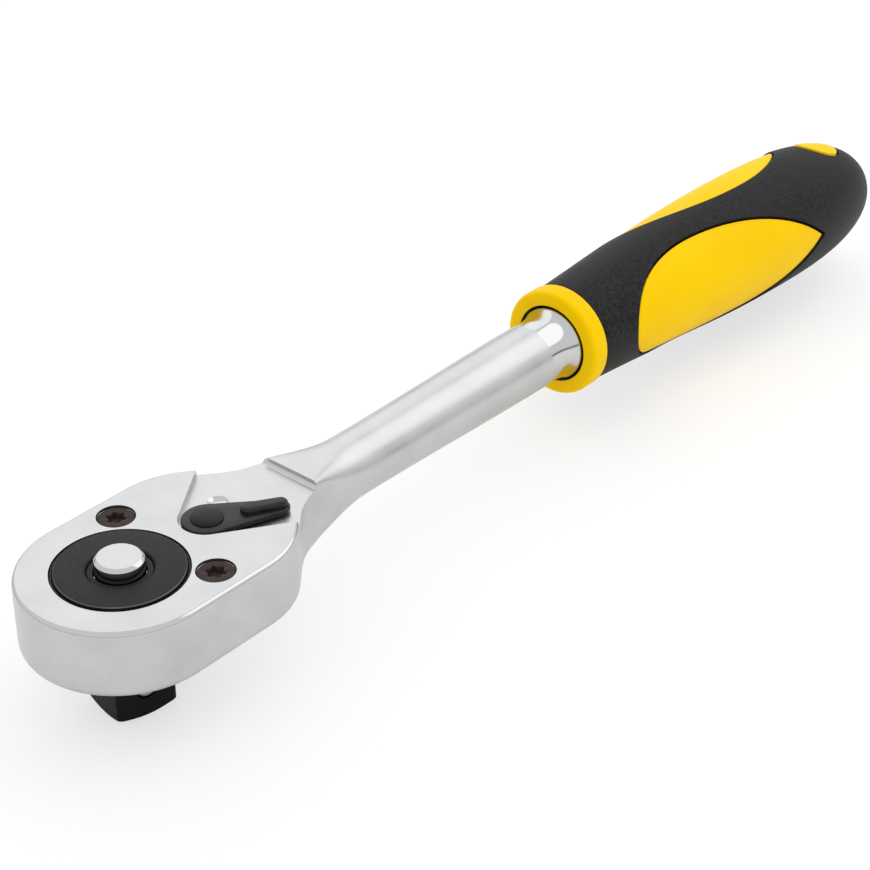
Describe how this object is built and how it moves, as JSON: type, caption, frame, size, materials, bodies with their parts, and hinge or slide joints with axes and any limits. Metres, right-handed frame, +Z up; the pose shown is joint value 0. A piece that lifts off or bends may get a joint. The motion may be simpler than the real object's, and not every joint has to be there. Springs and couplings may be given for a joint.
{
  "type": "socket ratchet",
  "caption": "Pear-head reversible ratchet handle with a square quick-release anvil, a thumb lever and a swelling two-colour moulded grip.",
  "frame": {"origin": "centre of the anvil's end face, on the drive axis", "axes": "+X along the handle towards its butt, +Z up the drive axis towards the release button"},
  "size_m": [0.2699, 0.0392, 0.0364],
  "materials": {
    "satin_chrome": "satin",
    "polished_chrome": "polished",
    "plain_steel": "ground",
    "spring_steel": "drawn",
    "dark_steel": "black oxide",
    "browned_screws": "oiled black oxide",
    "black_enamel": "satin",
    "seal_rubber": "matte",
    "yellow_plastic": "satin",
    "black_rubber": "fine matte grain"
  },
  "bodies": {
    "head": {"body_forging": "satin_chrome", "cover_plate": "plain_steel", "cover_screw_left": "browned_screws", "cover_screw_right": "browned_screws", "handle_core": "yellow_plastic", "grip_sleeve": "black_rubber", "gear_seal_ring": "seal_rubber"},
    "drive": {"drive_gear": "dark_steel", "button_retaining_ring": "dark_steel", "release_spring": "spring_steel"},
    "release": {"release_button": "polished_chrome", "release_pin": "plain_steel"},
    "socket_catch": {"socket_ball": "plain_steel"},
    "lever": {"reversing_lever": "black_enamel", "lever_spindle": "browned_screws", "spindle_seal_ring": "seal_rubber", "pawl_spring": "spring_steel", "lever_detent_spring": "spring_steel"},
    "pawl_plunger": {"pawl_ball": "plain_steel"},
    "lever_click": {"lever_detent_ball": "plain_steel"},
    "pawl": {"reversing_pawl": "dark_steel"}
  },
  "joints": [
    {"name": "drive_spin", "type": "hinge", "parent": "head", "child": "drive", "pos_m": [0, 0, 0], "axis": [0, 0, 1], "continuous": true},
    {"name": "release_press", "type": "slide", "parent": "drive", "child": "release", "axis": [0, 0, -1], "range_m": [0, 0.003], "stiffness_N_per_m": 1200, "deforming": ["release_spring"]},
    {"name": "ball_retract", "type": "slide", "parent": "drive", "child": "socket_catch", "axis": [0.2079, 0.9781, 0], "range_m": [0, 0.0009]},
    {"name": "lever_swing", "type": "hinge", "parent": "head", "child": "lever", "pos_m": [0.0219, 0, 0], "axis": [0, 0, 1], "range_deg": [0, 62]},
    {"name": "pawl_rock", "type": "hinge", "parent": "head", "child": "pawl", "pos_m": [0.0219, 0, 0], "axis": [0, 0, 1], "range_deg": [-6, 0]},
    {"name": "pawl_ball_slide", "type": "slide", "parent": "lever", "child": "pawl_plunger", "axis": [0.8572, -0.515, 0], "range_m": [0, 0.0004], "stiffness_N_per_m": 800, "deforming": ["pawl_spring"]},
    {"name": "lever_click_drop", "type": "slide", "parent": "lever", "child": "lever_click", "axis": [0, 0, -1], "range_m": [0, 0.0005], "stiffness_N_per_m": 800, "deforming": ["lever_detent_spring"]}
  ],
  "couplings": [
    {"joint": "ball_retract", "follows": "release_press", "ratio": 0.3},
    {"joint": "pawl_rock", "follows": "lever_swing", "ratio": -0.09677}
  ]
}
